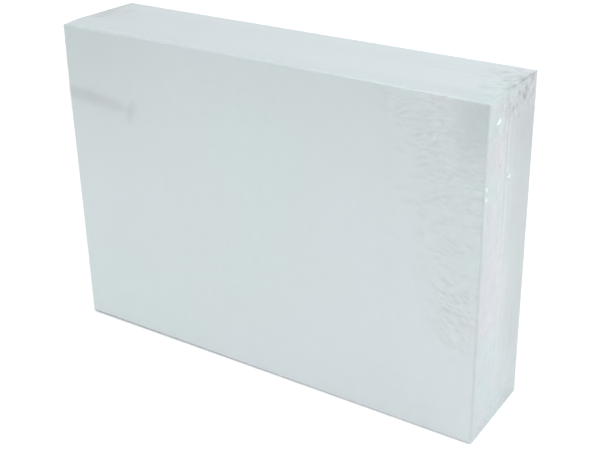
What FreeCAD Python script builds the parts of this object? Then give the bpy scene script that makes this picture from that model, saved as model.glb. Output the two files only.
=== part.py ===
import FreeCAD, Part
import Sketcher
import math
import os

from FreeCAD import Placement, Rotation, Vector

# A ream of paper in clear shrink film, standing on its long edge.
# +X runs along the sheets' long side, -Y is the face of the front sheet, +Z is up.
# The origin is in the middle of the rest face. All sizes are in millimetres.

# Driving dimensions, each the value of one named cell of the sheet
SIZES = {
    # The block of cut sheets: A4 on its long edge, 500 sheets of 0.13 mm.
    "sheet_length": 297.0,
    "sheet_height": 210.0,
    "stack_thickness": 65.0,
    # The film's pull bends the outermost sheets round at the rim of both broad faces.
    "bent_rim_radius": 1.2,
    # The film's wall, and the air left between it and the sheets that stand on it.
    "film_gauge": 0.3,
    "film_slack": 0.1,
    # The weld that closes the film down each end, a little in front of the middle.
    "weld_offset": 5.0,
    "weld_width": 1.6,
    "weld_crest": 0.5,
    "weld_height": 0.8,
    # The spare corner of film, flattened on the end under its top edge.
    "ear_width": 27.0,
    "ear_tip_width": 4.0,
    "ear_drop": 13.0,
    "ear_lean": 9.0,
    "ear_thickness": 0.6,
    # Pleats that fan out below the ear from the upper end of the weld.
    "pleat_start": 9.0,
    "pleat_length": 15.0,
    "pleat_width": 1.5,
    "pleat_height": 0.45,
    "pleat_spread": 128.0,
    # Two long folds that cross the end, one on each side of the weld.
    "end_fold_length": 15.0,
    "end_fold_width": 2.2,
    "end_fold_height": 0.5,
    "end_fold_slope": 27.0,
    "upper_fold_drop": 16.0,
    "lower_fold_drop": 54.0,
    # Pull lines that run down the lower half of the end.
    "pull_line_length": 62.0,
    "pull_line_width": 2.4,
    "pull_line_height": 0.2,
    "pull_line_pitch": 10.0,
    "pull_line_slope": 84.0,
    # The field of short creases on the broad faces beside the right end.
    "crease_length": 10.0,
    "crease_width": 1.0,
    "crease_height": 0.25,
    "crease_pitch": 11.0,
    "crease_band_width": 44.0,
    "crease_band_height": 150.0,
    "crease_fan": 36.0,
    # One slack fold that runs in from the left edge of the front and hooks down.
    "slack_fold_inset": 6.0,
    "slack_fold_drop": 43.0,
    "slack_fold_length": 44.0,
    "slack_fold_width": 4.0,
    "slack_fold_height": 0.25,
    "slack_fold_slope": 8.0,
    "slack_hook_length": 15.0,
    "slack_hook_slope": 60.0,
}

PLEAT_COUNT = 6
PULL_LINE_COUNT = 5
CREASE_COLUMNS = 4

# A ridge's crest against its foot: how much of its length and of its width it keeps
CREST_LENGTH_SHARE = 0.45
CREST_WIDTH_SHARE = 0.12

# The creases differ from each other by up to these shares and degrees
CREASE_LENGTH_SPREAD = 0.5
CREASE_SLOPE_SPREAD = 24.0
GOLDEN_SHARE = (math.sqrt(5.0) - 1.0) / 2.0

# The film's outer half lengths and height, and how deep a ridge is rooted in its wall
HALF_LENGTH = "(Sizes.sheet_length / 2 + Sizes.film_slack + Sizes.film_gauge)"
HALF_THICKNESS = "(Sizes.stack_thickness / 2 + Sizes.film_slack + Sizes.film_gauge)"
FILM_HEIGHT = "(Sizes.sheet_height + Sizes.film_slack + 2 * Sizes.film_gauge)"
ROOT_DEPTH = "Sizes.film_gauge / 2"

# The way that each side of the film faces, and how a ridge, which lies along X
# and rises along Y, is turned to face that way
FACES = {
    "front": (Vector(0, -1, 0), Rotation(Vector(0, 0, 1), 180)),
    "back": (Vector(0, 1, 0), Rotation(Vector(0, 0, 1), 0)),
    "right": (Vector(1, 0, 0), Rotation(Vector(0, 0, 1), -90)),
    "left": (Vector(-1, 0, 0), Rotation(Vector(0, 0, 1), 90)),
}


def make_sheet(doc):
    """Write the driving dimensions into named cells."""
    sheet = doc.addObject("Spreadsheet::Sheet", "Sizes")
    for row, (alias, value) in enumerate(SIZES.items(), start=1):
        sheet.set(f"A{row}", alias)
        sheet.set(f"B{row}", str(value))
        sheet.setAlias(f"B{row}", alias)
    doc.recompute()


def draw_centred_rectangle(sketch, half_length, half_thickness):
    """Draw four lines round the sketch's origin and bind both half sizes."""
    corners = [Vector(-1, -1, 0), Vector(1, -1, 0), Vector(1, 1, 0), Vector(-1, 1, 0)]
    for side, start in enumerate(corners):
        sketch.addGeometry(Part.LineSegment(start, corners[(side + 1) % 4]), False)
    for side in range(4):
        sketch.addConstraint(Sketcher.Constraint("Coincident", side, 2, (side + 1) % 4, 1))
    for side in (0, 2):
        sketch.addConstraint(Sketcher.Constraint("Horizontal", side))
        sketch.addConstraint(Sketcher.Constraint("Vertical", side + 1))
    sketch.addConstraint(Sketcher.Constraint("Symmetric", 0, 1, 1, 2, -1, 1))
    along = sketch.addConstraint(Sketcher.Constraint("DistanceX", -1, 1, 1, 2, 1.0))
    across = sketch.addConstraint(Sketcher.Constraint("DistanceY", -1, 1, 1, 2, 1.0))
    sketch.setExpression(f"Constraints[{along}]", half_length)
    sketch.setExpression(f"Constraints[{across}]", half_thickness)


def broad_rim_edges(shape):
    """Name the edges that bound the two broad faces."""
    limits = (shape.BoundBox.YMin, shape.BoundBox.YMax)
    names = []
    for number, edge in enumerate(shape.Edges, start=1):
        box = edge.BoundBox
        if any(abs(box.YMin - y) < 1e-4 and abs(box.YMax - y) < 1e-4 for y in limits):
            names.append(f"Edge{number}")
    return names


def make_block(doc, name, half_length, half_thickness, height, rim_radius):
    """Pad a rectangle up from the XY plane and round the rims of its broad faces."""
    body = doc.addObject("PartDesign::Body", name)
    outline = body.newObject("Sketcher::SketchObject", name + "_outline")
    planes = body.Origin.OriginFeatures
    outline.AttachmentSupport = [(next(p for p in planes if p.Role == "XY_Plane"), "")]
    outline.MapMode = "FlatFace"
    draw_centred_rectangle(outline, half_length, half_thickness)
    pad = body.newObject("PartDesign::Pad", name + "_pad")
    pad.Profile = outline
    pad.setExpression("Length", height)
    doc.recompute()
    rims = body.newObject("PartDesign::Fillet", name + "_rims")
    rims.Base = (pad, broad_rim_edges(pad.Shape))
    rims.setExpression("Radius", rim_radius)
    body.Tip = rims
    doc.recompute()
    return body


def place_on_face(feature, face, turn, along, level):
    """Stand a feature on a face, at a place along it and a level above the rest face."""
    outward = FACES[face][0]
    feature.Placement = Placement(Vector(), turn)
    if face in ("front", "back"):
        x, y = along, f"{outward.y:.0f} * {HALF_THICKNESS}"
    else:
        x, y = f"{outward.x:.0f} * {HALF_LENGTH}", along
    feature.setExpression(".Placement.Base.x", x)
    feature.setExpression(".Placement.Base.y", y)
    feature.setExpression(".Placement.Base.z", level)


def bind(feature, **expressions):
    """Bind several properties of a feature to the sheet."""
    for name, expression in expressions.items():
        feature.setExpression(name, expression)


def make_ridge(doc, name, face, along, level, slope, length, width, height):
    """Raise one tapered ridge out of a face of the film.

    along and level place its middle. slope is how many degrees it climbs to the
    right, as someone who looks straight at that face sees it.
    """
    ridge = doc.addObject("Part::Wedge", name)
    bind(
        ridge,
        Xmin=f"-({length}) / 2",
        Xmax=f"({length}) / 2",
        X2min=f"-({length}) * {CREST_LENGTH_SHARE} / 2",
        X2max=f"({length}) * {CREST_LENGTH_SHARE} / 2",
        Zmin=f"-({width}) / 2",
        Zmax=f"({width}) / 2",
        Z2min=f"-({width}) * {CREST_WIDTH_SHARE} / 2",
        Z2max=f"({width}) * {CREST_WIDTH_SHARE} / 2",
        Ymin=f"-{ROOT_DEPTH}",
        Ymax=height,
    )
    turn = FACES[face][1].multiply(Rotation(Vector(0, 1, 0), slope))
    place_on_face(ridge, face, turn, along, level)
    return ridge


def make_weld(doc, face):
    """The bead where the film is welded shut, all the way down one end."""
    weld = doc.addObject("Part::Wedge", f"weld_{face}")
    half_run = f"{FILM_HEIGHT} / 2"
    bind(
        weld,
        Xmin=f"-{half_run}",
        Xmax=half_run,
        X2min=f"-{half_run}",
        X2max=half_run,
        Zmin="-Sizes.weld_width / 2",
        Zmax="Sizes.weld_width / 2",
        Z2min="-Sizes.weld_crest / 2",
        Z2max="Sizes.weld_crest / 2",
        Ymin=f"-{ROOT_DEPTH}",
        Ymax="Sizes.weld_height",
    )
    turn = FACES[face][1].multiply(Rotation(Vector(0, 1, 0), 90))
    place_on_face(weld, face, turn, "-Sizes.weld_offset", f"{FILM_HEIGHT} / 2")
    return weld


def make_ear(doc, face):
    """The spare corner of film: a flat tongue, hanging from the top rim to the back."""
    outward = FACES[face][0]
    ear = doc.addObject("Part::Wedge", f"ear_{face}")
    tip = f"{-outward.x:.0f} * Sizes.ear_lean"
    bind(
        ear,
        Xmin="-Sizes.ear_width / 2",
        Xmax="Sizes.ear_width / 2",
        X2min=f"{tip} - Sizes.ear_tip_width / 2",
        X2max=f"{tip} + Sizes.ear_tip_width / 2",
        Ymin="0",
        Ymax="Sizes.ear_drop",
        Zmin=f"-{ROOT_DEPTH}",
        Z2min=f"-{ROOT_DEPTH}",
        Zmax="Sizes.ear_thickness",
        Z2max="Sizes.ear_thickness",
    )
    down = Vector(0, 0, -1)
    turn = Rotation(down.cross(outward), down, outward, "ZYX")
    along = "Sizes.ear_lean / 2"
    place_on_face(ear, face, turn, along, FILM_HEIGHT)
    return ear


def make_pleats(doc, face):
    """Pleats that fan out from the upper end of the weld, below the ear."""
    pleats = []
    reach = "(Sizes.pleat_start + Sizes.pleat_length / 2)"
    for number in range(PLEAT_COUNT):
        bearing = SIZES["pleat_spread"] * (number / (PLEAT_COUNT - 1) - 0.5)
        along = f"{math.sin(math.radians(bearing)):.6f} * {reach} - Sizes.weld_offset"
        level = f"{FILM_HEIGHT} - {math.cos(math.radians(bearing)):.6f} * {reach}"
        to_right = FACES[face][0].x
        pleats.append(make_ridge(
            doc, f"pleat_{face}_{number + 1}", face, along, level,
            to_right * (bearing - 90.0),
            "Sizes.pleat_length", "Sizes.pleat_width", "Sizes.pleat_height"))
    return pleats


def make_end_folds(doc, face):
    """Two folds that fall to the back, one before the weld and one behind it."""
    slope = -FACES[face][0].x * SIZES["end_fold_slope"]
    size = ("Sizes.end_fold_length", "Sizes.end_fold_width", "Sizes.end_fold_height")
    before = f"-({HALF_THICKNESS} + Sizes.weld_offset) / 2"
    behind = "-Sizes.weld_offset + Sizes.end_fold_length / 2"
    return [
        make_ridge(doc, f"upper_fold_{face}", face, before,
                   f"{FILM_HEIGHT} - Sizes.upper_fold_drop", slope, *size),
        make_ridge(doc, f"lower_fold_{face}", face, behind,
                   f"{FILM_HEIGHT} - Sizes.lower_fold_drop", slope, *size),
    ]


def make_pull_lines(doc, face):
    """Long shallow lines down the lower half of an end, where the film is stretched."""
    lines = []
    slope = -FACES[face][0].x * SIZES["pull_line_slope"]
    for number in range(PULL_LINE_COUNT):
        step = number - (PULL_LINE_COUNT - 1) / 2
        rise = (number * GOLDEN_SHARE) % 1.0
        length = f"Sizes.pull_line_length * {1.0 - 0.4 * rise:.3f}"
        lines.append(make_ridge(
            doc, f"pull_line_{face}_{number + 1}", face,
            f"{step} * Sizes.pull_line_pitch",
            f"Sizes.pull_line_length * {0.62 + 0.3 * rise:.3f}", slope,
            length, "Sizes.pull_line_width", "Sizes.pull_line_height"))
    return lines


def make_creases(doc, face):
    """Short creases in a band beside the right end, fanned towards its two corners."""
    creases = []
    to_right = -FACES[face][0].y
    rows = int(SIZES["crease_band_height"] / SIZES["crease_pitch"])
    for row in range(rows):
        fall = (row + 0.5) / rows
        for column in range(CREASE_COLUMNS):
            inset = (column + 0.5) / CREASE_COLUMNS
            if inset > 1.15 - 0.6 * fall:
                continue
            number = row * CREASE_COLUMNS + column + (1 if face == "front" else 7)
            chance = (number * GOLDEN_SHARE) % 1.0
            slope = SIZES["crease_fan"] * (1.0 - 2.0 * fall)
            slope += CREASE_SLOPE_SPREAD * (chance - 0.5)
            share = 1.0 - CREASE_LENGTH_SPREAD * ((3 * chance) % 1.0)
            drop = f"Sizes.crease_pitch * {row + 0.6 + 0.7 * chance:.3f}"
            creases.append(make_ridge(
                doc, f"crease_{face}_{row + 1}_{column + 1}", face,
                f"Sizes.sheet_length / 2 - Sizes.crease_band_width * {inset:.3f}",
                f"{FILM_HEIGHT} - {drop}", to_right * slope,
                f"Sizes.crease_length * {share:.3f}",
                "Sizes.crease_width", "Sizes.crease_height"))
    return creases


def make_slack_fold(doc):
    """The slack fold on the front: a long low ridge, and the hook at its inner end."""
    start = f"-{HALF_LENGTH} + Sizes.slack_fold_inset"
    level = f"{FILM_HEIGHT} - Sizes.slack_fold_drop"
    half_fall = "Sizes.slack_fold_length / 2 * sin(Sizes.slack_fold_slope)"
    hook_run = "Sizes.slack_hook_length / 2 * cos(Sizes.slack_hook_slope)"
    hook_fall = "Sizes.slack_hook_length / 2 * sin(Sizes.slack_hook_slope)"
    fold = make_ridge(
        doc, "slack_fold", "front", f"{start} + Sizes.slack_fold_length / 2", level,
        -SIZES["slack_fold_slope"],
        "Sizes.slack_fold_length", "Sizes.slack_fold_width", "Sizes.slack_fold_height")
    hook = make_ridge(
        doc, "slack_hook", "front",
        f"{start} + Sizes.slack_fold_length - Sizes.slack_fold_width - {hook_run}",
        f"{level} - {half_fall} - {hook_fall}", SIZES["slack_hook_slope"],
        "Sizes.slack_hook_length", "Sizes.slack_fold_width", "Sizes.slack_fold_height")
    return [fold, hook]


def fuse(doc, name, base, additions):
    """Join pieces of film onto what is there already."""
    joined = doc.addObject("Part::MultiFuse", name)
    joined.Shapes = [base] + additions
    return joined


def make_paper_stack(doc):
    """The sheets as one block, standing on the film's floor."""
    stack = make_block(
        doc, "paper_stack", "Sizes.sheet_length / 2", "Sizes.stack_thickness / 2",
        "Sizes.sheet_height", "Sizes.bent_rim_radius")
    stack.setExpression(".Placement.Base.z", "Sizes.film_gauge")
    return stack


def make_shrink_film(doc):
    """The film: a closed skin round the sheets, with its weld, ears, folds and creases."""
    skin = make_block(
        doc, "film_skin", HALF_LENGTH, HALF_THICKNESS, FILM_HEIGHT,
        "Sizes.bent_rim_radius + Sizes.film_slack + Sizes.film_gauge")
    room = make_block(
        doc, "sheet_room", "Sizes.sheet_length / 2 + Sizes.film_slack",
        "Sizes.stack_thickness / 2 + Sizes.film_slack",
        "Sizes.sheet_height + Sizes.film_slack",
        "Sizes.bent_rim_radius + Sizes.film_slack")
    room.setExpression(".Placement.Base.z", "Sizes.film_gauge")
    wrinkled = fuse(doc, "front_skin", skin, make_slack_fold(doc) + make_creases(doc, "front"))
    wrinkled = fuse(doc, "back_skin", wrinkled, make_creases(doc, "back"))
    for face in ("right", "left"):
        closing = [make_weld(doc, face), make_ear(doc, face)]
        wrinkled = fuse(doc, f"{face}_closing", wrinkled, closing)
        folds = make_pleats(doc, face) + make_end_folds(doc, face)
        wrinkled = fuse(doc, f"{face}_folds", wrinkled, folds)
        wrinkled = fuse(doc, f"{face}_lines", wrinkled, make_pull_lines(doc, face))
    film = doc.addObject("Part::Cut", "shrink_film")
    film.Base = wrinkled
    film.Tool = room
    return film


def check_document(doc, parts):
    """Stop if any object failed or any part has no sound solid."""
    for item in doc.Objects:
        if "Invalid" in item.State or "Error" in item.State:
            raise RuntimeError(f"{item.Name} failed: {item.State}")
    for part in parts:
        if part.Shape.isNull() or not part.Shape.isValid() or len(part.Shape.Solids) != 1:
            raise RuntimeError(f"{part.Label} is not one sound solid")


def main():
    os.makedirs("parts", exist_ok=True)
    doc = FreeCAD.newDocument("ream_of_paper")
    make_sheet(doc)
    parts = [make_paper_stack(doc), make_shrink_film(doc)]
    doc.recompute()
    check_document(doc, parts)
    for part in parts:
        box = part.Shape.BoundBox
        print(part.Label, f"volume {part.Shape.Volume:.1f}", box)
        part.Shape.exportStep(os.path.join("parts", part.Label + ".step"))


main()
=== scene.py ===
import math
import random

import bmesh
import bpy
import numpy as np
from mathutils import Matrix, Vector


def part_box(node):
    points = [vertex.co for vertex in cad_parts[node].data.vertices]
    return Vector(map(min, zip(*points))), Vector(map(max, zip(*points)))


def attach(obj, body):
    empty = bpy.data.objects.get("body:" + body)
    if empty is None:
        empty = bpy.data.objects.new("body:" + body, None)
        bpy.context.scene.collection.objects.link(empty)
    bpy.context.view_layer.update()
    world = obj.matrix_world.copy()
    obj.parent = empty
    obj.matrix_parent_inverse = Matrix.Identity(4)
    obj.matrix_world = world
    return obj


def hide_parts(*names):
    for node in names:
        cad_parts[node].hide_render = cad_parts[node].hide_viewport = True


# A ream of white paper in clear shrink film, standing on its long edge.
# All lengths are in metres, in the CAD frame: +X along the sheets, -Y out of the front sheet, +Z up.
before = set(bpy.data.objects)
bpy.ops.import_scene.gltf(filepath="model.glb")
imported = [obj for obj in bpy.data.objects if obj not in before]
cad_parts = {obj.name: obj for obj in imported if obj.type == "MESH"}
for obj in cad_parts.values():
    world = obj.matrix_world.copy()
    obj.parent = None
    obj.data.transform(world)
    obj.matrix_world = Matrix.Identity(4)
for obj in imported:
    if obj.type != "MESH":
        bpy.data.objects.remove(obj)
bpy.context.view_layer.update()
MM = 0.001
SEED = 11

# The block of sheets and the room that the film has, from the frame
STACK_LOW, STACK_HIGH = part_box("paper_stack")
FILM_LOW, FILM_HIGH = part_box("shrink_film")

# The sheets: each is a leaf whose cut edge stands a little proud of the groove beside it
SHEET_COUNT = 500
SHEETS_PER_LIFT = 62
GROOVE_DEPTH = 0.03 * MM
SHEET_JOG = 0.04 * MM
LIFT_JOG = 0.08 * MM
BENT_RIM_RADIUS = 1.2 * MM
LENGTH_CELLS = 14
HEIGHT_CELLS = 8
SHARP_ANGLE = math.radians(35.0)

# How the tight film bends the ream: the front's foot up, its top corners down and back
FOOT_LIFT = 0.7 * MM
FOOT_LIFT_LOSS = 0.9
FOOT_DEPTH = 5.0 * MM
FOOT_REACH = 14.0 * MM
CORNER_DROOP = 1.0 * MM
CORNER_BACK = 0.7 * MM
CORNER_REACH = 40.0 * MM
DROOP_DEPTH = 16.0 * MM

# The film: a skin that follows the sheets at this distance, with rounded rims
FILM_OFFSET = 0.35 * MM
RIM_ACROSS = 1.1 * MM
RIM_DEEP = 1.55 * MM
RIM_LINES = 4
COARSE_PITCH = 4.0 * MM
DEEPEST_DENT = -0.28 * MM
# Painted shade at the deepest dent, in layers of film
DENT_SHADE = 0.55
MOST_LAYERS = 5.0
EAR_REACH = 45.0 * MM
WELD_FROM_MIDDLE = 5.0 * MM

# The crest of a fold is sharp, or round as in soft slack film
SHARP_CREST = 1.0
ROUND_CREST = 2.0

# The camera: where it stands, how it looks, and the part of its picture that the photo shows
CAMERA_PLACE = Vector((0.3471, -0.4905, 0.3794))
CAMERA_AZIMUTH = math.radians(30.61)
CAMERA_ELEVATION = math.radians(23.15)
CAMERA_ROLL = math.radians(0.31)
PHOTO_WIDTH = 600
PHOTO_HEIGHT = 450
FOCAL_PIXELS = 1037.7
AXIS_PIXEL = (364.7, 179.9)
SENSOR_WIDTH = 36.0


def make_camera():
    """Place the camera and shift its frame to the part of the view that the photo shows."""
    data = bpy.data.cameras.new("camera")
    data.sensor_width = SENSOR_WIDTH
    data.lens = FOCAL_PIXELS * SENSOR_WIDTH / PHOTO_WIDTH
    data.shift_x = (PHOTO_WIDTH / 2 - AXIS_PIXEL[0]) / PHOTO_WIDTH
    data.shift_y = (AXIS_PIXEL[1] - PHOTO_HEIGHT / 2) / PHOTO_WIDTH
    data.clip_start = 0.01
    back = Vector((math.sin(CAMERA_AZIMUTH) * math.cos(CAMERA_ELEVATION),
                   -math.cos(CAMERA_AZIMUTH) * math.cos(CAMERA_ELEVATION),
                   math.sin(CAMERA_ELEVATION)))
    level = Vector((math.cos(CAMERA_AZIMUTH), math.sin(CAMERA_AZIMUTH), 0.0))
    upright = back.cross(level)
    right = level * math.cos(CAMERA_ROLL) + upright * math.sin(CAMERA_ROLL)
    up = upright * math.cos(CAMERA_ROLL) - level * math.sin(CAMERA_ROLL)
    turn = Matrix((right, up, back)).transposed().to_4x4()
    camera = bpy.data.objects.new("camera", data)
    camera.matrix_world = Matrix.Translation(CAMERA_PLACE) @ turn
    bpy.context.scene.collection.objects.link(camera)
    bpy.context.scene.camera = camera


# Node helpers

def new_material(name):
    """A material with an empty node tree and its output node."""
    material = bpy.data.materials.new(name)
    material.use_nodes = True
    material.node_tree.nodes.clear()
    output = material.node_tree.nodes.new("ShaderNodeOutputMaterial")
    return material, material.node_tree, output


def add_node(tree, kind, inputs=None, **properties):
    """Add a node, set its properties, and set its named inputs."""
    node = tree.nodes.new("ShaderNode" + kind)
    for name, value in properties.items():
        setattr(node, name, value)
    for name, value in (inputs or {}).items():
        node.inputs[name].default_value = value
    return node


def object_coordinates(tree, scale):
    """Object coordinates, stretched by a scale on each axis."""
    coordinates = add_node(tree, "TexCoord")
    mapping = add_node(tree, "Mapping", {"Scale": scale})
    tree.links.new(coordinates.outputs["Object"], mapping.inputs["Vector"])
    return mapping.outputs["Vector"]


def noise(tree, vector, scale, detail=2.0, roughness=0.5):
    """A noise texture's factor."""
    node = add_node(tree, "TexNoise", {"Scale": scale, "Detail": detail, "Roughness": roughness})
    tree.links.new(vector, node.inputs["Vector"])
    return node.outputs["Fac"]


def ramp(tree, factor, low, high, low_color, high_color):
    """A colour ramp between two colours."""
    node = add_node(tree, "ValToRGB")
    node.color_ramp.elements[0].position = low
    node.color_ramp.elements[1].position = high
    node.color_ramp.elements[0].color = (*low_color, 1.0)
    node.color_ramp.elements[1].color = (*high_color, 1.0)
    tree.links.new(factor, node.inputs["Fac"])
    return node.outputs["Color"]


def math_node(tree, operation, first, second):
    """A math node on two values, each a socket or a number."""
    node = add_node(tree, "Math", operation=operation)
    for socket, value in zip(node.inputs, (first, second)):
        if isinstance(value, (int, float)):
            socket.default_value = value
        else:
            tree.links.new(value, socket)
    return node.outputs[0]


def mix_colors(tree, factor, first, second, blend="MIX"):
    """A colour mix of two sockets or colours."""
    node = add_node(tree, "MixRGB", blend_type=blend)
    for socket, value in zip(node.inputs, (factor, first, second)):
        if isinstance(value, bpy.types.NodeSocket):
            tree.links.new(value, socket)
        elif isinstance(value, tuple):
            socket.default_value = (*value, 1.0)
        else:
            socket.default_value = value
    return node.outputs["Color"]


def bump(tree, height, strength, distance):
    """A bump node's normal."""
    node = add_node(tree, "Bump", {"Strength": strength, "Distance": distance})
    tree.links.new(height, node.inputs["Height"])
    return node.outputs["Normal"]


# Materials

PAPER_DARK = (0.708, 0.756, 0.760)
PAPER_LIGHT = (0.727, 0.774, 0.777)
EDGE_DARK = (0.670, 0.725, 0.745)
EDGE_LIGHT = (0.745, 0.800, 0.815)


def make_paper_material():
    """Uncoated white paper: cloudy pulp on the broad faces, fine lines on the cut edges."""
    material, tree, output = new_material("white_paper")
    shader = add_node(tree, "BsdfPrincipled", {"Roughness": 0.82, "Specular IOR Level": 0.25})
    pulp = noise(tree, object_coordinates(tree, (1, 1, 1)), 180.0, 2.0, 0.5)
    broad = ramp(tree, pulp, 0.3, 0.7, PAPER_DARK, PAPER_LIGHT)
    lifts = noise(tree, object_coordinates(tree, (0.4, 60.0, 0.4)), 4.0, 2.0)
    leaves = noise(tree, object_coordinates(tree, (2.0, 4000.0, 2.0)), 1.0, 1.0)
    lines = math_node(tree, "ADD", math_node(tree, "MULTIPLY", lifts, 0.6),
                      math_node(tree, "MULTIPLY", leaves, 0.4))
    edge = ramp(tree, lines, 0.35, 0.65, EDGE_DARK, EDGE_LIGHT)
    geometry = add_node(tree, "NewGeometry")
    split = add_node(tree, "SeparateXYZ")
    tree.links.new(geometry.outputs["Normal"], split.inputs[0])
    facing = math_node(tree, "GREATER_THAN", math_node(tree, "ABSOLUTE", split.outputs["Y"], 0.0), 0.9)
    tree.links.new(mix_colors(tree, facing, edge, broad), shader.inputs["Base Color"])
    fibres = noise(tree, object_coordinates(tree, (1, 1, 1)), 2600.0, 3.0, 0.65)
    tree.links.new(bump(tree, fibres, 0.06, 0.05 * MM), shader.inputs["Normal"])
    tree.links.new(shader.outputs[0], output.inputs["Surface"])
    return material


FILM_HEAD_ON_GLOSS = 0.077
FILM_GLOSS_RISE = 3.7
LEAST_HAZE = 0.04
MOST_HAZE = 0.46
MOST_RIPPLE = 0.6


def mix_shaders(tree, share, first, second):
    """A mix of two shaders by a share of the second."""
    mix = add_node(tree, "MixShader")
    for socket, source in zip(mix.inputs, (share, first.outputs[0], second.outputs[0])):
        tree.links.new(source, socket)
    return mix


def make_film_material():
    """Clear shrink film: it lets the paper through, with a little haze and a gloss that grows at a slant."""
    material, tree, output = new_material("clear_shrink_film")
    plain = object_coordinates(tree, (1, 1, 1))
    loose = add_node(tree, "Attribute", attribute_name="loose").outputs["Fac"]
    ripples = noise(tree, object_coordinates(tree, (1.0, 1.0, 0.45)), 380.0, 3.0, 0.6)
    ripples = math_node(tree, "MULTIPLY", ripples, math_node(tree, "MINIMUM", loose, MOST_RIPPLE))
    normal = bump(tree, ripples, 0.5, 0.30 * MM)
    slant = add_node(tree, "LayerWeight", {"Blend": 0.5})
    tree.links.new(normal, slant.inputs["Normal"])
    facing = slant.outputs["Facing"]
    rise = math_node(tree, "POWER", facing, FILM_GLOSS_RISE)
    share = math_node(tree, "ADD", math_node(tree, "MULTIPLY", rise, 1.0 - FILM_HEAD_ON_GLOSS),
                      FILM_HEAD_ON_GLOSS)
    clear = add_node(tree, "BsdfTransparent")
    tint = ramp(tree, noise(tree, plain, 9.0, 1.0), 0.35, 0.65, (0.98, 0.99, 0.985), (0.99, 0.985, 0.995))
    through = mix_colors(tree, math_node(tree, "POWER", facing, 2.0), tint, (0.775, 0.785, 0.79))
    # The film is darkened by its layer count, which holds real extra layers of film and painted shade.
    layers_and_shade = add_node(tree, "Attribute", attribute_name="layers_and_shade").outputs["Fac"]
    layers = math_node(tree, "DIVIDE", layers_and_shade, MOST_LAYERS)
    through = mix_colors(tree, layers, through, (0.50, 0.475, 0.46), "MULTIPLY")
    tree.links.new(through, clear.inputs["Color"])
    haze = add_node(tree, "BsdfDiffuse")
    rosy = add_node(tree, "Attribute", attribute_name="rosy").outputs["Fac"]
    cast = math_node(tree, "ADD", noise(tree, plain, 45.0, 3.0), math_node(tree, "MULTIPLY", rosy, 0.14))
    shimmer = ramp(tree, cast, 0.40, 0.62, (0.74, 0.89, 0.87), (0.92, 0.79, 0.87))
    haze_color = mix_colors(tree, loose, (0.80, 0.86, 0.87), shimmer)
    tree.links.new(haze_color, haze.inputs["Color"])
    tree.links.new(normal, haze.inputs["Normal"])
    cloud = noise(tree, plain, 120.0, 4.0, 0.6)
    clouded = math_node(tree, "MULTIPLY", math_node(tree, "MULTIPLY", cloud, loose), MOST_HAZE)
    haze_share = math_node(tree, "ADD", clouded, LEAST_HAZE)
    gloss = add_node(tree, "BsdfGlossy", {"Roughness": 0.2})
    tree.links.new(normal, gloss.inputs["Normal"])
    hazy = mix_shaders(tree, haze_share, clear, haze)
    tree.links.new(mix_shaders(tree, share, hazy, gloss).outputs[0], output.inputs["Surface"])
    return material


# The sheets

def rim_inset(depth):
    """How far a sheet at this depth from the broad face has been drawn in by the film."""
    if depth >= BENT_RIM_RADIUS:
        return 0.0
    return BENT_RIM_RADIUS - math.sqrt(BENT_RIM_RADIUS ** 2 - (BENT_RIM_RADIUS - depth) ** 2)


def sheet_rings():
    """Yield each ring of the block: its y, and its insets at the left, right, foot and top."""
    draw = random.Random(SEED)
    pitch = (STACK_HIGH.y - STACK_LOW.y) / SHEET_COUNT
    lift = [0.0, 0.0, 0.0]
    for number in range(SHEET_COUNT):
        if number % SHEETS_PER_LIFT == 0:
            lift = [draw.uniform(0.0, LIFT_JOG) for _ in range(3)]
        jog = [offset + draw.uniform(0.0, SHEET_JOG) for offset in lift]
        start = STACK_LOW.y + number * pitch
        depth = min(number + 0.5, SHEET_COUNT - number - 0.5) * pitch
        rim = rim_inset(depth)
        for share, groove in ((0.0, GROOVE_DEPTH), (0.2, 0.0), (0.8, 0.0)):
            left, right, top = (offset + rim + groove for offset in jog)
            yield start + share * pitch, left, right, rim, top
    yield STACK_HIGH.y, left, right, rim, top


def ring_shares():
    """Where a ring's points lie on the block's outline, as shares of its length and height."""
    across = [step / LENGTH_CELLS for step in range(LENGTH_CELLS)]
    upward = [step / HEIGHT_CELLS for step in range(HEIGHT_CELLS)]
    foot = [(share, 0.0) for share in across]
    right = [(1.0, share) for share in upward]
    top = [(1.0 - share, 1.0) for share in across]
    left = [(0.0, 1.0 - share) for share in upward]
    return foot + right + top + left


def ring_slot(i, j):
    """The number, along a ring, of the outline point in column i and row j of a cap's grid."""
    if j == 0:
        return i
    if i == LENGTH_CELLS:
        return LENGTH_CELLS + j
    if j == HEIGHT_CELLS:
        return 2 * LENGTH_CELLS + HEIGHT_CELLS - i
    return 2 * (LENGTH_CELLS + HEIGHT_CELLS) - j


def cap_faces(vertices, first, ring, outward_first):
    """Close one end of the block of sheets with a grid that shares the ring's points."""
    place = {}
    low, high = ring[0], ring[LENGTH_CELLS + HEIGHT_CELLS]
    for i in range(LENGTH_CELLS + 1):
        for j in range(HEIGHT_CELLS + 1):
            if i in (0, LENGTH_CELLS) or j in (0, HEIGHT_CELLS):
                place[i, j] = first + ring_slot(i, j)
                continue
            place[i, j] = len(vertices)
            vertices.append((low[0] + (high[0] - low[0]) * i / LENGTH_CELLS, low[1],
                             low[2] + (high[2] - low[2]) * j / HEIGHT_CELLS))
    faces = []
    for i in range(LENGTH_CELLS):
        for j in range(HEIGHT_CELLS):
            face = (place[i, j], place[i + 1, j], place[i + 1, j + 1], place[i, j + 1])
            faces.append(face if outward_first else face[::-1])
    return faces


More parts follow.
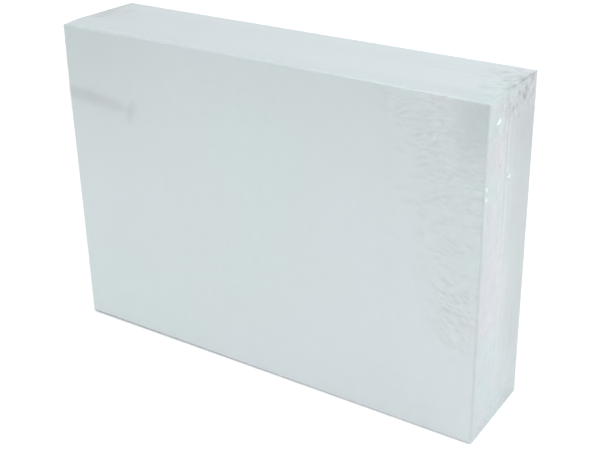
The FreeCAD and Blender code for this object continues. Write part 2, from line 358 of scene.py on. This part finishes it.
def make_sheets(material):
    """The 500 sheets as one closed block, with the edge of every sheet on its four narrow sides."""
    vertices = []
    shares = ring_shares()
    for y, left, right, foot, top in sheet_rings():
        low_x, high_x = STACK_LOW.x + left, STACK_HIGH.x - right
        low_z, high_z = STACK_LOW.z + foot, STACK_HIGH.z - top
        vertices += [(low_x + (high_x - low_x) * u, y, low_z + (high_z - low_z) * v) for u, v in shares]
    size = len(shares)
    last = len(vertices) - size
    faces = []
    for ring in range(0, last, size):
        for step in range(size):
            a, b = ring + step, ring + (step + 1) % size
            faces.append((a, a + size, b + size, b))
    faces += cap_faces(vertices, 0, vertices[:size], True)
    faces += cap_faces(vertices, last, vertices[last:last + size], False)
    placed = settle(np.array(vertices))
    return add_piece("sheets", placed, faces, material, "paper_stack")


def settle(points):
    """Bend points of the ream as the tight film does: the foot of the front up, the front's top corners down and back."""
    x, y, z = points.T
    to_front = y - STACK_LOW.y
    from_top = STACK_HIGH.z - z
    along = np.abs(x) / STACK_HIGH.x
    corner = along ** 4 * (1.0 - smooth_step(from_top, 0.0, CORNER_REACH))
    droop = CORNER_DROOP * corner * (1.0 - smooth_step(to_front, 0.0, DROOP_DEPTH))
    lift = FOOT_LIFT * (1.0 - FOOT_LIFT_LOSS * (x / STACK_HIGH.x + 1.0) / 2.0)
    lift = lift * (1.0 - smooth_step(to_front, 0.0, FOOT_DEPTH)) * (1.0 - smooth_step(z, 0.0, FOOT_REACH))
    back = CORNER_BACK * along ** 12 * (1.0 - smooth_step(from_top, 0.0, CORNER_REACH))
    back = back * (1.0 - smooth_step(to_front, 0.0, DROOP_DEPTH))
    return np.stack([x, y + back, z - droop + lift], axis=1)


def smooth_step(values, low, high):
    """0 at low, 1 at high, with a smooth rise between."""
    share = np.clip((values - low) / (high - low), 0.0, 1.0)
    return share * share * (3.0 - 2.0 * share)


def add_piece(name, vertices, faces, material, node):
    """Make a mesh piece that stands for a CAD node and rides on the one body."""
    mesh = bpy.data.meshes.new(name)
    mesh.from_pydata([tuple(v) for v in vertices], [], faces)
    mesh.validate()
    mesh.materials.append(material)
    mesh.polygons.foreach_set("use_smooth", [True] * len(mesh.polygons))
    mesh.set_sharp_from_angle(angle=SHARP_ANGLE)
    mesh.update()
    piece = bpy.data.objects.new(name, mesh)
    bpy.context.scene.collection.objects.link(piece)
    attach(piece, "root")
    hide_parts(node)
    return piece


# The film

SKIN_LOW = STACK_LOW - Vector((FILM_OFFSET,) * 3)
SKIN_HIGH = STACK_HIGH + Vector((FILM_OFFSET,) * 3)
SKIN_LOW.z = FILM_LOW.z


def stations(low, high, rim):
    """Places of the grid lines along one axis: close together at both rims, even between them."""
    steps = [rim * step / RIM_LINES for step in range(RIM_LINES)]
    count = max(2, round((high - low - 2 * rim) / COARSE_PITCH))
    inner = np.linspace(low + rim, high - rim, count + 1)
    return [low + s for s in steps] + list(inner) + [high - s for s in reversed(steps)]


def box_grid():
    """A closed box of quads on the film's flat form, with shared vertices along its edges."""
    axes = [stations(SKIN_LOW[0], SKIN_HIGH[0], RIM_ACROSS),
            stations(SKIN_LOW[1], SKIN_HIGH[1], RIM_DEEP),
            stations(SKIN_LOW[2], SKIN_HIGH[2], RIM_ACROSS)]
    mesh = bmesh.new()
    known = {}

    def corner(key):
        if key not in known:
            known[key] = mesh.verts.new([axes[axis][key[axis]] for axis in range(3)])
        return known[key]

    for axis in range(3):
        u_axis, v_axis = (axis + 1) % 3, (axis + 2) % 3
        for end in (0, len(axes[axis]) - 1):
            for i in range(len(axes[u_axis]) - 1):
                for j in range(len(axes[v_axis]) - 1):
                    quad = []
                    for di, dj in ((0, 0), (1, 0), (1, 1), (0, 1)):
                        key = [0, 0, 0]
                        key[axis], key[u_axis], key[v_axis] = end, i + di, j + dj
                        quad.append(corner(tuple(key)))
                    mesh.faces.new(quad if end else quad[::-1])
    return mesh


def target_pitch(place):
    """How long the film's mesh edges may be at a place on its flat form."""
    from_right = SKIN_HIGH.x - place.x
    from_top = SKIN_HIGH.z - place.z
    if from_right < 1e-6:
        return 0.7 * MM if from_top < 80 * MM else 1.5 * MM
    if place.y < SKIN_LOW.y + 1e-6:
        if from_right < 60 * MM and from_top < 165 * MM:
            return 0.55 * MM
        if place.x < SKIN_LOW.x + 65 * MM and 30 * MM < from_top < 70 * MM:
            return 1.0 * MM
    if place.y > SKIN_HIGH.y - 1e-6 and from_right < 60 * MM and from_top < 165 * MM:
        return 0.8 * MM
    if from_top < 1e-6 and from_right < 34 * MM:
        return 0.7 * MM
    return COARSE_PITCH


def refine(mesh):
    """Halve long edges until the mesh is as fine everywhere as its folds need."""
    for _ in range(3):
        long_edges = []
        for edge in mesh.edges:
            middle = (edge.verts[0].co + edge.verts[1].co) / 2
            if edge.calc_length() > 1.4 * target_pitch(middle):
                long_edges.append(edge)
        if not long_edges:
            break
        bmesh.ops.subdivide_edges(mesh, edges=long_edges, cuts=1, use_grid_fill=True)


def round_rims(points):
    """Move points of the flat form onto rounded rims, and give each its outward direction."""
    radii = np.array([RIM_ACROSS, RIM_DEEP, RIM_ACROSS])
    core = np.clip(points, np.array(SKIN_LOW) + radii, np.array(SKIN_HIGH) - radii)
    offset = (points - core) / radii
    length = np.linalg.norm(offset, axis=1, keepdims=True)
    unit = offset / length
    placed = core + unit * radii
    normal = unit / radii
    normal /= np.linalg.norm(normal, axis=1, keepdims=True)
    return placed, normal


def fold(start, end, half_width, height, bend=1.4, blunt=0.35, crest=SHARP_CREST):
    """One fold of the film: a ridge (or a dent, if height is below 0) from start to end."""
    return {"start": start, "end": end, "half_width": half_width, "height": height,
            "bend": bend, "blunt": blunt, "crest": crest}


def fold_heights(u, v, folds):
    """The film's height over a face at points (u, v), from all folds on that face."""
    total = np.zeros_like(u)
    for item in folds:
        start, end = np.array(item["start"]), np.array(item["end"])
        run = np.linalg.norm(end - start)
        along = (end - start) / run
        reach = item["half_width"]
        near = (np.abs(u - (start[0] + end[0]) / 2) < run / 2 + reach) & \
               (np.abs(v - (start[1] + end[1]) / 2) < run / 2 + reach)
        if not near.any():
            continue
        du, dv = u[near] - start[0], v[near] - start[1]
        t = (du * along[0] + dv * along[1]) / run
        s = np.abs(dv * along[0] - du * along[1])
        taper = np.clip(4.0 * t * (1.0 - t), 0.0, 1.0) ** item["blunt"]
        width = reach * np.maximum(taper, 0.05)
        ridge = np.clip(1.0 - (s / width) ** item["crest"], 0.0, 1.0) ** item["bend"] * taper
        total[near] += item["height"] * ridge
    return total


def crease(middle, slope, length, half_width, height):
    """A crease: a ridge with a dent close beside it, so that the slope between them is steep."""
    along = (math.cos(slope) * length / 2, math.sin(slope) * length / 2)
    aside = (-math.sin(slope) * half_width * 0.55, math.cos(slope) * half_width * 0.55)
    folds = []
    for side in (1.0, -1.0):
        place = (middle[0] + side * aside[0], middle[1] + side * aside[1])
        folds.append(fold((place[0] - along[0], place[1] - along[1]),
                          (place[0] + along[0], place[1] + along[1]), half_width, side * height))
    return folds


def crease_folds():
    """Short creases beside the right end of the front, in clusters that fan towards its two corners."""
    draw = random.Random(SEED + 1)
    folds = []
    for from_right, drop, across, down, slope, height, count in CREASE_CLUSTERS:
        for _ in range(count):
            x = SKIN_HIGH.x - max(1.5, draw.gauss(from_right, across)) * MM
            z = SKIN_HIGH.z - max(2.0, draw.gauss(drop, down)) * MM
            turn = math.radians(slope + draw.gauss(0.0, CREASE_TURN))
            folds += crease((x, z), turn, draw.uniform(3.5, 9.0) * MM, draw.uniform(1.1, 2.0) * MM,
                            draw.choice((1.0, -1.0)) * draw.uniform(0.5, 1.0) * height * MM)
    return folds


# Clusters of creases: middle from the right end and from the top, spread across and down (mm),
# slope (degrees), greatest height (mm) and count
CREASE_CLUSTERS = (
    (53.0, 12.0, 6.0, 5.0, 12.0, 0.17, 26),
    (31.0, 20.0, 6.0, 12.0, 18.0, 0.22, 60),
    (27.0, 52.0, 8.0, 16.0, 10.0, 0.17, 46),
    (8.0, 52.0, 5.0, 15.0, 6.0, 0.21, 44),
    (20.0, 92.0, 8.0, 12.0, -8.0, 0.20, 34),
    (16.0, 126.0, 7.0, 12.0, -28.0, 0.32, 90),
    (38.0, 75.0, 12.0, 36.0, 0.0, 0.10, 60),
)
CREASE_TURN = 14.0


# The slack fold from the left end and its hook. Each run is start and end, from the left end and from
# the top (mm), half-width (mm) and strength.
SLACK_FOLD = (
    ((-14.0, -43.5), (54.0, -50.0), 6.5, 0.9),
    ((56.0, -42.0), (50.0, -60.0), 4.0, 0.7),
)
SLACK_HEIGHT = 0.22 * MM
SLACK_LAYERS = 0.85


def slack_runs():
    """The runs of the slack fold as start, end, half-width and strength, in metres."""
    for start, end, half_width, strength in SLACK_FOLD:
        ends = [(SKIN_LOW.x + u * MM, SKIN_HIGH.z + v * MM) for u, v in (start, end)]
        yield (*ends, half_width * MM, strength)


def front_folds():
    """The creases, and the slack fold that comes in from the left and hooks down."""
    slack = [fold(start, end, half_width, SLACK_HEIGHT * strength, 2.0, 0.5, ROUND_CREST)
             for start, end, half_width, strength in slack_runs()]
    return slack + crease_folds()


# Crumples where the ear gathers spare film round the end's top rim.
# They are laid out on the end and the top together, as if the rim were unbent.
CRUMPLE_COUNT = 110
CRUMPLE_MIDDLE = (10.0, 0.0)
CRUMPLE_SPREAD = (11.0, 9.0)
CRUMPLE_HEIGHT = 0.18 * MM
CRUMPLE_FADE = 5.0 * MM
# Gathers add film layers, and with them painted shade where the film bunches.
GATHER_LAYERS = 0.95

# Where the ear's film lies many layers deep: its loop, the pocket in it, its pleats and the light gap between them;
# the pocket's darkness is a painted shadow, and the loop and pleats also hold painted shade.
# Each run is start and end, to the back and up from the top rim (mm), half-width (mm) and layers.
EAR_RUNS = (
    ((11.5, -8.8), (19.0, -8.0), 4.8, 5.0),
    ((-8.0, -1.6), (-5.2, -12.0), 2.8, 1.6),
    ((-11.0, 0.5), (6.0, -2.6), 2.4, 1.0),
    ((-5.5, -11.6), (9.0, -13.7), 2.8, 1.4),
    ((6.4, -8.0), (8.6, -14.5), 2.5, 1.3),
    ((8.0, 2.5), (18.0, 1.0), 3.4, 1.1),
    ((22.0, 0.5), (29.0, -3.0), 2.8, 1.2),
    ((1.0, 7.5), (6.0, 8.3), 2.4, 1.2),
    ((-21.3, 1.0), (-20.6, -7.0), 1.6, 0.7),
    ((-15.5, 0.0), (-15.5, -6.5), 1.8, 1.1),
    ((2.0, -19.0), (12.0, -19.5), 2.8, 0.8),
    ((-3.0, -6.0), (9.5, -4.6), 2.1, -0.9),
)


def crumples(seed):
    """The crumples of one ear: the start, end, half-width and height of each."""
    draw = random.Random(seed)
    runs = []
    for _ in range(CRUMPLE_COUNT):
        u = draw.gauss(CRUMPLE_MIDDLE[0], CRUMPLE_SPREAD[0]) * MM
        v = SKIN_HIGH.z + draw.gauss(CRUMPLE_MIDDLE[1], CRUMPLE_SPREAD[1]) * MM
        angle = draw.uniform(0.0, math.pi)
        half = draw.uniform(1.5, 5.0) * MM
        du, dv = half * math.cos(angle), half * math.sin(angle)
        height = draw.choice((1.0, -1.0)) * draw.uniform(0.4, 1.0) * CRUMPLE_HEIGHT
        runs.append(((u - du, v - dv), (u + du, v + dv), draw.uniform(0.9, 1.7) * MM, height))
    return runs


def ear_layers(seed):
    """The layers of film of one ear, as folds on the unbent end and top."""
    gathers = [fold(start, end, 2.0 * half_width, GATHER_LAYERS, 0.8, 0.6, ROUND_CREST)
               for start, end, half_width, height in crumples(seed) if height > 0.0]
    runs = [fold((start[0] * MM, SKIN_HIGH.z + start[1] * MM), (end[0] * MM, SKIN_HIGH.z + end[1] * MM),
                 half_width * MM, layers, 1.2, 0.5, ROUND_CREST)
            for start, end, half_width, layers in EAR_RUNS]
    return gathers + runs


def unbent(flat, side):
    """Places of points on an end and on the top, along the end's depth and up it, as if the rim were unbent."""
    over = SKIN_HIGH.x - side * flat[:, 0]
    on_top = flat[:, 2] > SKIN_HIGH.z - 1e-6
    return flat[:, 1], np.where(on_top, SKIN_HIGH.z + over, flat[:, 2])


def end_folds(seed):
    """An end of the film: weld, ear, pleats, long folds and pull lines. u runs to the back."""
    draw = random.Random(seed)
    top, foot = SKIN_HIGH.z, SKIN_LOW.z
    weld = -WELD_FROM_MIDDLE
    folds = [
        fold((weld, foot - 20 * MM), (weld, top + 20 * MM), 2.0 * MM, 0.32 * MM, 1.6, 0.1),
        fold((-28 * MM, top - 12 * MM), (-19 * MM, top - 18 * MM), 1.6 * MM, 0.4 * MM),
        fold((-21 * MM, top - 16.4 * MM), (-15 * MM, top - 14.4 * MM), 1.65 * MM, 0.74 * MM, 1.0, 0.2),
        fold((-3 * MM, top - 53.5 * MM), (2 * MM, top - 51.5 * MM), 1.6 * MM, 0.78 * MM, 1.0, 0.2),
        fold((-37 * MM, top - 51.5 * MM), (-28 * MM, top - 49 * MM), 1.75 * MM, 0.85 * MM, 1.0, 0.2),
        fold((-37 * MM, top - 57.5 * MM), (-28 * MM, top - 55 * MM), 1.75 * MM, 0.85 * MM, 1.0, 0.2),
        fold((5 * MM, top - 2 * MM), (19 * MM, top - 12 * MM), 3.0 * MM, 0.45 * MM, 1.0),
        fold((19 * MM, top - 12 * MM), (27 * MM, top - 1 * MM), 2.5 * MM, 0.3 * MM, 1.0),
        fold((12 * MM, top - 4 * MM), (18 * MM, top - 9 * MM), 3.5 * MM, -0.25 * MM),
    ]
    for number in range(11):
        bearing = math.radians(-68.0 + 13.6 * number + draw.uniform(-5.0, 5.0))
        near = draw.uniform(6.0, 11.0) * MM
        far = near + draw.uniform(7.0, 16.0) * MM
        start = (weld + near * math.sin(bearing), top - near * math.cos(bearing))
        end = (weld + far * math.sin(bearing), top - far * math.cos(bearing))
        folds.append(fold(start, end, draw.uniform(0.9, 1.8) * MM, draw.uniform(0.2, 0.5) * MM))
    for _ in range(16):
        u = draw.uniform(-29.0, 29.0) * MM
        v = foot + draw.uniform(4.0, 60.0) * MM
        length = draw.uniform(25.0, 80.0) * MM
        lean = draw.uniform(-3.0, 3.0) * MM
        folds.append(fold((u, v), (u + lean, v + length), draw.uniform(1.2, 2.6) * MM,
                          draw.uniform(0.06, 0.16) * MM))
    for _ in range(26):
        u = draw.uniform(-31.0, -10.0) * MM
        v = top - draw.uniform(40.0, 130.0) * MM
        angle = draw.uniform(0.0, math.pi)
        half = draw.uniform(1.5, 4.5) * MM
        folds.append(fold((u - half * math.cos(angle), v - half * math.sin(angle)),
                          (u + half * math.cos(angle), v + half * math.sin(angle)),
                          draw.uniform(0.8, 1.5) * MM, draw.uniform(0.05, 0.15) * MM))
    return folds


def top_folds():
    """Small dents where the spare corner of film is drawn over the right end of the top."""
    draw = random.Random(SEED + 5)
    folds = []
    for _ in range(44):
        from_right = 0.5 * MM + 16.0 * MM * draw.random() ** 1.5
        y = draw.uniform(-14.0, 30.0) * MM
        angle = draw.uniform(-0.9, 0.9)
        half = draw.uniform(1.5, 4.0) * MM
        x = SKIN_HIGH.x - from_right
        folds.append(fold((x - half * math.cos(angle), y - half * math.sin(angle)),
                          (x + half * math.cos(angle), y + half * math.sin(angle)),
                          draw.uniform(0.8, 1.4) * MM, -draw.uniform(0.14, 0.28) * MM))
    return folds


def wrinkle(flat):
    """How far each point of the film stands out from its plain rounded form."""
    height = np.zeros(len(flat))
    sides = [
        (flat[:, 1] < SKIN_LOW.y + 1e-6, 0, 2, front_folds()),
        (flat[:, 1] > SKIN_HIGH.y - 1e-6, 0, 2, crease_folds()),
        (flat[:, 0] > SKIN_HIGH.x - 1e-6, 1, 2, end_folds(SEED + 2)),
        (flat[:, 0] < SKIN_LOW.x + 1e-6, 1, 2, end_folds(SEED + 3)),
        (flat[:, 2] > SKIN_HIGH.z - 1e-6, 0, 1, top_folds()),
    ]
    for on_side, u_axis, v_axis, folds in sides:
        height[on_side] += fold_heights(flat[on_side, u_axis], flat[on_side, v_axis], folds)
    for side, seed in ((1, SEED + 6), (-1, SEED + 7)):
        near = ear_area(flat, side)
        u, v = unbent(flat[near], side)
        height[near] += away_from_rims(u, v) * fold_heights(u, v, [fold(*run, 1.0) for run in crumples(seed)])
    return np.maximum(height, DEEPEST_DENT)


def away_from_rims(u, v):
    """0 at the ear's rims, where crumples would glint, and 1 a few millimetres from them."""
    inward = np.minimum(u - SKIN_LOW.y, SKIN_HIGH.y - u)
    return smooth_step(np.minimum(inward, np.abs(v - SKIN_HIGH.z)), 0.0, CRUMPLE_FADE)


def ear_area(flat, side):
    """The points of one end and of the top beside it."""
    end = side * flat[:, 0] > SKIN_HIGH.x - 1e-6
    top = (flat[:, 2] > SKIN_HIGH.z - 1e-6) & (side * flat[:, 0] > SKIN_HIGH.x - EAR_REACH)
    return end | top


def film_layers_and_shade(flat, heights):
    """How dark the film is made at each point, in layers of film: real extra layers in the slack fold and the ear,
    and painted shade at the right top corners, in the dents, at the front's upper left, on the back half of each
    end and in the ear.
    """
    from_right = SKIN_HIGH.x - flat[:, 0]
    from_top = SKIN_HIGH.z - flat[:, 2]
    front = flat[:, 1] < SKIN_LOW.y + 1e-6
    # Painted shade: the film is darkened at the right top corner of the front and back.
    corner_shade = 0.62 * (1.0 - smooth_step(from_right, 9 * MM, 24 * MM))
    corner_shade *= 1.0 - smooth_step(from_top, 14 * MM, 50 * MM)
    tongue = fold_heights(flat[:, 0], flat[:, 2], [
        fold(start, end, half_width, SLACK_LAYERS * strength, 1.2, 0.5, ROUND_CREST)
        for start, end, half_width, strength in slack_runs()])
    # Painted shade in the film's dents: the deeper the dent, the darker.
    dents = DENT_SHADE * np.clip(heights / DEEPEST_DENT, 0.0, 1.0)
    # Painted shade: the upper left of the front is darkened a little.
    spare = 0.2 * (1.0 - smooth_step(flat[:, 0] - SKIN_LOW.x, 20 * MM, 120 * MM))
    spare *= 1.0 - smooth_step(from_top, 40 * MM, 110 * MM)
    back = flat[:, 1] > SKIN_HIGH.y - 1e-6
    layers_and_shade = np.where(front, np.maximum(corner_shade, tongue) + dents + spare, np.where(back, corner_shade + dents, 0.0))
    # Painted shade: the back half of each end is darkened, rising across a wavy line at the weld.
    edge =-WELD_FROM_MIDDLE + 5 * MM * np.sin(flat[:, 2] / (17 * MM)) * np.cos(flat[:, 2] / (41 * MM))
    back_half_shade = 1.1 * smooth_step(flat[:, 1] - edge, -6 * MM, 34 * MM)
    # The ear's gathered film adds layers at the top of each end's back, deepened with painted shade.
    ear = 0.9 * smooth_step(flat[:, 1], -40 * MM, 0 * MM) * (1.0 - smooth_step(from_top, 14 * MM, 75 * MM))
    for side, seed in ((1, SEED + 6), (-1, SEED + 7)):
        end = side * flat[:, 0] > SKIN_HIGH.x - 1e-6
        layers_and_shade[end] += back_half_shade[end] + ear[end]
        near = ear_area(flat, side)
        u, v = unbent(flat[near], side)
        layers_and_shade[near] += fold_heights(u, v, ear_layers(seed))
    return np.clip(layers_and_shade, 0.0, MOST_LAYERS)


RIM_LOOSENESS = 0.35
RIM_FADE = 6.0 * MM


def looseness(flat):
    """How loose the film is at each point: 0 where it is tight and clear, 1 where it is slack and hazy. Its haze
    also paints light: a light band along the top's front edge, and a brighter front half and foot on each end.
    """
    from_right = SKIN_HIGH.x - flat[:, 0]
    from_top = SKIN_HIGH.z - flat[:, 2]
    loose = np.zeros(len(flat))
    broad = (flat[:, 1] < SKIN_LOW.y + 1e-6) | (flat[:, 1] > SKIN_HIGH.y - 1e-6)
    band = 1.0 - smooth_step(from_right + 0.12 * from_top, 25 * MM, 60 * MM)
    band *= 1.0 - smooth_step(from_top, 130 * MM, 170 * MM)
    loose[broad] = 0.5 * band[broad]
    for end in (flat[:, 0] > SKIN_HIGH.x - 1e-6, flat[:, 0] < SKIN_LOW.x + 1e-6):
        # The front half of each end, past the weld, is hazier: loose spare film, made brighter as painted light.
        spare = 1.0 - smooth_step(flat[:, 1], -WELD_FROM_MIDDLE - 4 * MM, -WELD_FROM_MIDDLE + 8 * MM)
        ear = 1.0 - smooth_step(from_top, 8 * MM, 35 * MM)
        # Painted light: more haze near the foot of each end brightens it.
        foot = 1.0 - smooth_step(flat[:, 2], 15 * MM, 65 * MM)
        slack = np.maximum(np.maximum(0.25 + 0.7 * spare, 0.8 * ear), 1.1 * foot)
        inward = smooth_step(np.minimum(flat[:, 1] - SKIN_LOW.y, SKIN_HIGH.y - flat[:, 1]), 0.0, RIM_FADE)
        loose[end] = (RIM_LOOSENESS + (slack - RIM_LOOSENESS) * inward)[end]
    top = flat[:, 2] > SKIN_HIGH.z - 1e-6
    corner = 0.7 * (1.0 - smooth_step(from_right, 6 * MM, 32 * MM))
    # Painted highlight: more haze along the top's front edge makes a light band for the rim's highlight.
    lip_highlight = 0.6 * (1.0 - smooth_step(flat[:, 1] - SKIN_LOW.y, 1.0 * MM, 4.5 * MM))
    loose[top] = np.maximum(corner, lip_highlight)[top]
    return loose


def rosiness(flat):
    """The cast of the film's haze at each point: 1 where it is rosy, -1 where it is green, 0 where it is mixed."""
    from_top = SKIN_HIGH.z - flat[:, 2]
    end = np.abs(flat[:, 0]) > SKIN_HIGH.x - 1e-6
    broad = (flat[:, 1] < SKIN_LOW.y + 1e-6) | (flat[:, 1] > SKIN_HIGH.y - 1e-6)
    foot = smooth_step(from_top, 134 * MM, 146 * MM)
    band = smooth_step(from_top, 42 * MM, 92 * MM) * (1.0 - smooth_step(flat[:, 1], 2 * MM, 24 * MM))
    return np.where(end, band * (1.0 - foot) - 0.6 * foot, np.where(broad, 1.0, 0.0))


def make_film(material):
    """The film as one closed skin round the sheets."""
    mesh = box_grid()
    refine(mesh)
    flat = np.array([vertex.co for vertex in mesh.verts])
    placed, normal = round_rims(flat)
    heights = wrinkle(flat)
    placed += normal * heights[:, None]
    placed = np.clip(settle(placed), np.array(FILM_LOW), np.array(FILM_HIGH))
    mesh.verts.index_update()
    faces = [[vertex.index for vertex in face.verts] for face in mesh.faces]
    mesh.free()
    film = add_piece("film", placed, faces, material, "shrink_film")
    traits = (("loose", looseness(flat)), ("layers_and_shade", film_layers_and_shade(flat, heights)), ("rosy", rosiness(flat)))
    for name, values in traits:
        film.data.attributes.new(name, "FLOAT", "POINT").data.foreach_set("value", values)
    return film


# The stage

FLOOR_COLOR = (0.90, 0.90, 0.90)
# Painted shade: the floor darkens from white to this grey between these two distances in front of the ream.
FLOOR_SHADE_COLOR = (0.42, 0.42, 0.42)
FLOOR_SHADE_START = -0.35
FLOOR_SHADE_END = -0.65
FLOOR_GLOW = 0.45
CONTACT_REACH = 6.0 * MM
CONTACT_SAMPLES = 16
RIGHT_CONTACT_SHADE = 0.35
FLOOR_HALF_WIDTH = 5.0
SWEEP_START = 1.0
SWEEP_RADIUS = 0.6
SWEEP_HEIGHT = 3.0
SWEEP_STEPS = 12


def sweep_profile():
    """The floor and backdrop seen from the side, as (y, z): flat, then a curve, then upright."""
    z = FILM_LOW.z - 0.02 * MM
    profile = [(-FLOOR_HALF_WIDTH, z)]
    for step in range(SWEEP_STEPS + 1):
        angle = math.pi / 2 * step / SWEEP_STEPS
        profile.append((SWEEP_START + SWEEP_RADIUS * math.sin(angle),
                        z + SWEEP_RADIUS * (1.0 - math.cos(angle))))
    profile.append((SWEEP_START + SWEEP_RADIUS, z + SWEEP_HEIGHT))
    return profile


def make_floor():
    """A white floor that sweeps up into a backdrop, and still takes the ream's shadow; far in front of the ream it
    is darkened with painted shade.
    """
    material, tree, output = new_material("white_floor")
    split = add_node(tree, "SeparateXYZ")
    tree.links.new(object_coordinates(tree, (1, 1, 1)), split.inputs[0])
    # Painted shade on the floor, far in front of the ream.
    reach = add_node(tree, "MapRange", {"From Min": FLOOR_SHADE_END, "From Max": FLOOR_SHADE_START})
    tree.links.new(split.outputs["Y"], reach.inputs["Value"])
    floor_shading = ramp(tree, reach.outputs["Result"], 0.0, 1.0, FLOOR_SHADE_COLOR, FLOOR_COLOR)
    diffuse = add_node(tree, "BsdfDiffuse")
    tree.links.new(floor_shading, diffuse.inputs["Color"])
    glow = add_node(tree, "Emission")
    tree.links.new(floor_shading, glow.inputs["Color"])
    contact = add_node(tree, "AmbientOcclusion", {"Distance": CONTACT_REACH}, samples=CONTACT_SAMPLES)
    shade = add_node(tree, "MapRange", {"From Min": STACK_LOW.x, "From Max": STACK_HIGH.x,
                                        "To Min": 1.0, "To Max": RIGHT_CONTACT_SHADE})
    tree.links.new(split.outputs["X"], shade.inputs["Value"])
    open_glow = math_node(tree, "MULTIPLY", FLOOR_GLOW, lighter_contact(tree, contact, shade))
    tree.links.new(math_node(tree, "MULTIPLY", seen_directly(tree), open_glow), glow.inputs["Strength"])
    both = add_node(tree, "AddShader")
    tree.links.new(diffuse.outputs[0], both.inputs[0])
    tree.links.new(glow.outputs[0], both.inputs[1])
    tree.links.new(both.outputs[0], output.inputs["Surface"])
    vertices = [(x, y, z) for y, z in sweep_profile() for x in (-FLOOR_HALF_WIDTH, FLOOR_HALF_WIDTH)]
    faces = [(a, a + 1, a + 3, a + 2) for a in range(0, len(vertices) - 2, 2)]
    mesh = bpy.data.meshes.new("floor")
    mesh.from_pydata(vertices, [], faces)
    mesh.materials.append(material)
    floor = bpy.data.objects.new("floor", mesh)
    bpy.context.scene.collection.objects.link(floor)


def lighter_contact(tree, contact, shade):
    """How open the floor is, with the contact's darkness weakened by a share."""
    darkness = math_node(tree, "SUBTRACT", 1.0, contact.outputs["AO"])
    return math_node(tree, "SUBTRACT", 1.0, math_node(tree, "MULTIPLY", darkness, shade.outputs["Result"]))


def seen_directly(tree):
    """1 for camera, glossy and transmission rays, 0 for the rays that carry light."""
    path = add_node(tree, "LightPath")
    mirrored = math_node(tree, "MAXIMUM", path.outputs["Is Glossy Ray"], path.outputs["Is Transmission Ray"])
    return math_node(tree, "MAXIMUM", path.outputs["Is Camera Ray"], mirrored)


def make_world():
    """Soft even studio light, a little blue."""
    world = bpy.data.worlds.new("studio")
    world.use_nodes = True
    tree = world.node_tree
    tree.nodes.clear()
    light = add_node(tree, "Background", {"Color": (0.93, 0.97, 1.0, 1.0), "Strength": 0.45})
    output = tree.nodes.new("ShaderNodeOutputWorld")
    tree.links.new(light.outputs[0], output.inputs["Surface"])
    bpy.context.scene.world = world


def make_lamp(name, place, aim, size, energy, color):
    """A soft square lamp that points at a place."""
    data = bpy.data.lights.new(name, "AREA")
    data.size = size
    data.energy = energy
    data.color = color
    lamp = bpy.data.objects.new(name, data)
    lamp.location = place
    lamp.rotation_euler = (Vector(place) - Vector(aim)).to_track_quat("Z", "Y").to_euler()
    bpy.context.scene.collection.objects.link(lamp)


def make_lamps():
    """Soft lamps overhead, and weaker ones in front and at the right."""
    make_lamp("overhead_lamp", (0.05, -0.15, 1.45), (0, 0, 0.1), 1.8, 14.4, (0.935, 0.985, 1.0))
    make_lamp("side_lamp", (1.12, 0.80, 0.35), (0, 0, 0.1), 0.7, 7.2, (1.0, 1.0, 1.0))
    make_lamp("front_lamp", (-0.2, -1.9, 0.9), (0, 0, 0.1), 1.8, 15.6, (1.0, 1.0, 0.98))


def main():
    bpy.context.scene.view_settings.view_transform = "Standard"
    make_camera()
    make_world()
    make_lamps()
    make_floor()
    make_sheets(make_paper_material())
    make_film(make_film_material())


main()
